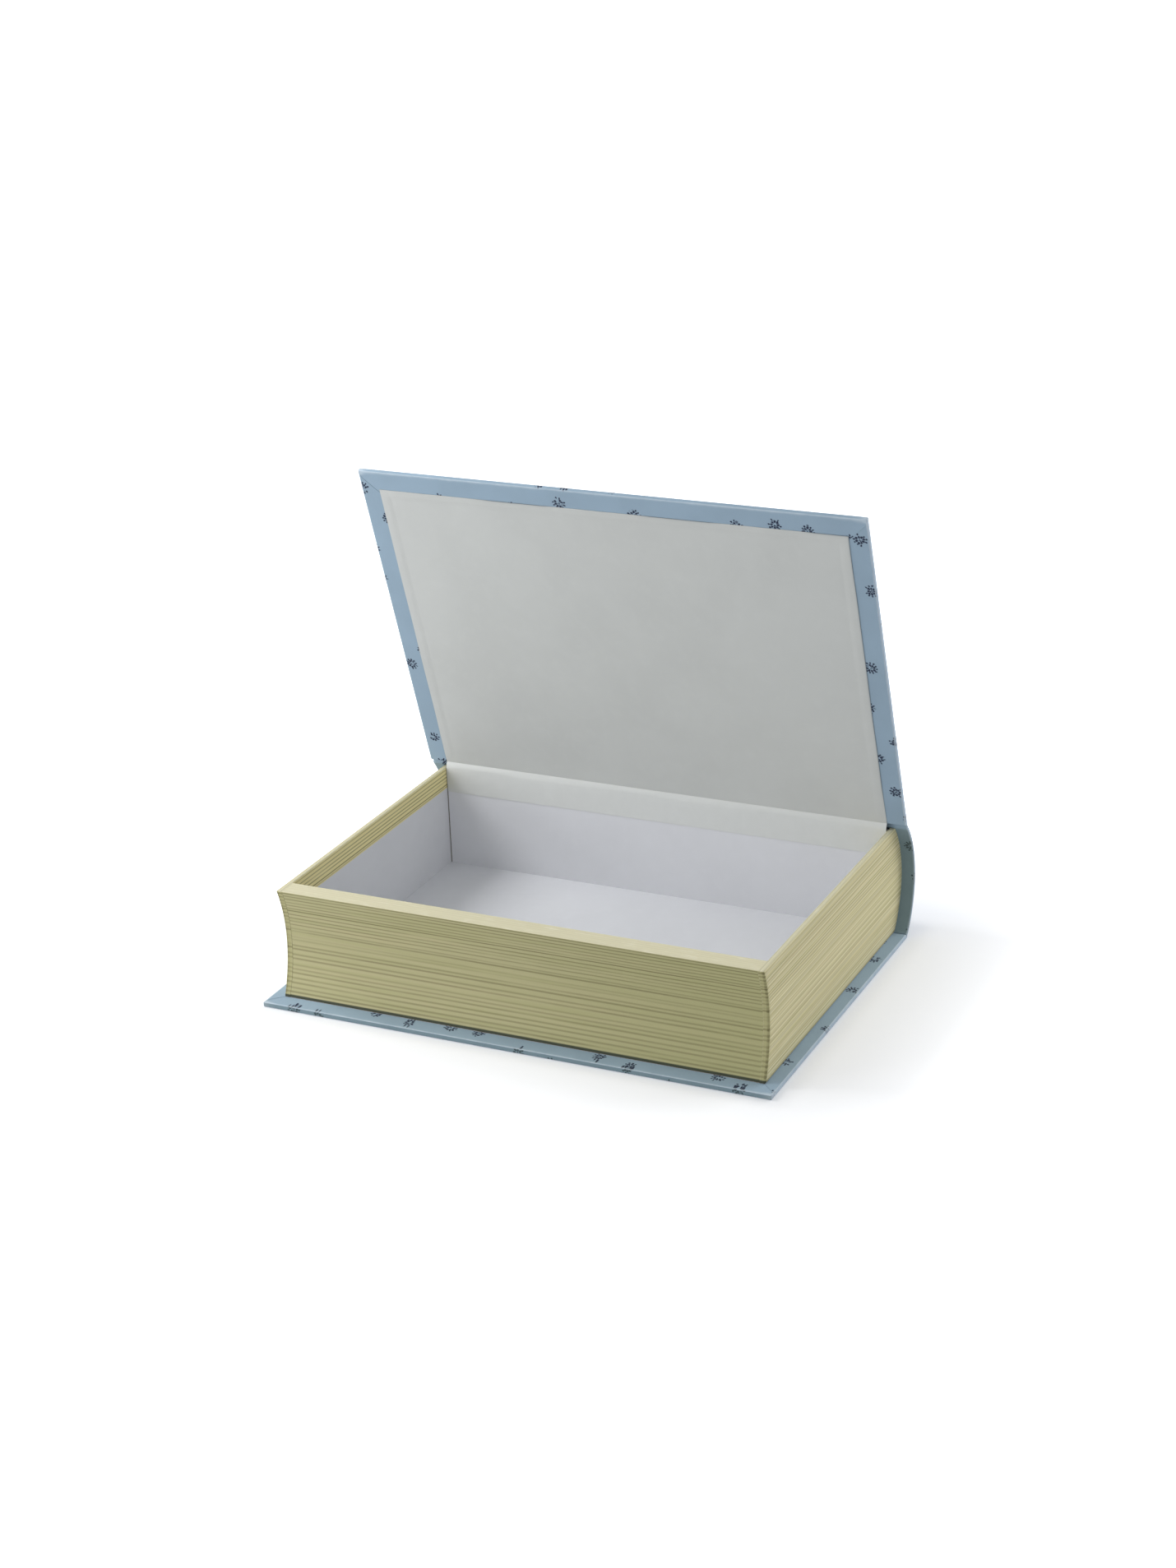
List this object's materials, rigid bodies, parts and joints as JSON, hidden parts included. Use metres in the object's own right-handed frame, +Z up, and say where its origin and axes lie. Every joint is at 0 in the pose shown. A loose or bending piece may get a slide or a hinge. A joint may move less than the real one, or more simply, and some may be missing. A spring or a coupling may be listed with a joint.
{
  "type": "book box",
  "caption": "Keepsake box shaped like a bound book: a paper-covered board tray in a case with a rounded spine and a paper-hinged lid that stands open.",
  "frame": {"origin": "on the surface that the box stands on, midway along its length and midway between the fore edge of the base cover and the back of the spine", "axes": "+X along the hinge and the spine, +Y from the fore edge towards the spine, +Z up"},
  "size_m": [0.28, 0.207, 0.2495],
  "materials": {
    "grey_board": "matte",
    "printed_wrap": "matte",
    "page_paper": "matte",
    "tray_lining": "matte",
    "lid_lining": "matte"
  },
  "bodies": {
    "box": {"base_board": "grey_board", "base_wrap_paper": "printed_wrap", "spine_card": "grey_board", "spine_wrap_paper": "printed_wrap", "tray_floor_board": "grey_board", "tray_front_wall": "grey_board", "tray_rear_wall": "grey_board", "tray_left_wall": "grey_board", "tray_right_wall": "grey_board", "fore_edge_card": "grey_board", "fore_edge_rim_strip": "grey_board", "fore_edge_page_paper": "page_paper", "left_page_paper": "page_paper", "right_page_paper": "page_paper", "floor_lining": "tray_lining", "front_lining": "tray_lining", "rear_lining": "tray_lining", "left_lining": "tray_lining", "right_lining": "tray_lining", "rear_lining_flap": "lid_lining", "hinge_lining_paper": "lid_lining", "hinge_wrap_paper": "printed_wrap"},
    "lid": {"lid_board": "grey_board", "lid_wrap_paper": "printed_wrap", "lid_lining_paper": "lid_lining"}
  },
  "joints": [
    {"name": "lid_hinge", "type": "hinge", "parent": "box", "child": "lid", "pos_m": [0, 0.0905, 0.06492], "axis": [-1, 0, 0], "range_deg": [-72, 127], "deforming": ["hinge_wrap_paper", "hinge_lining_paper"]}
  ]
}
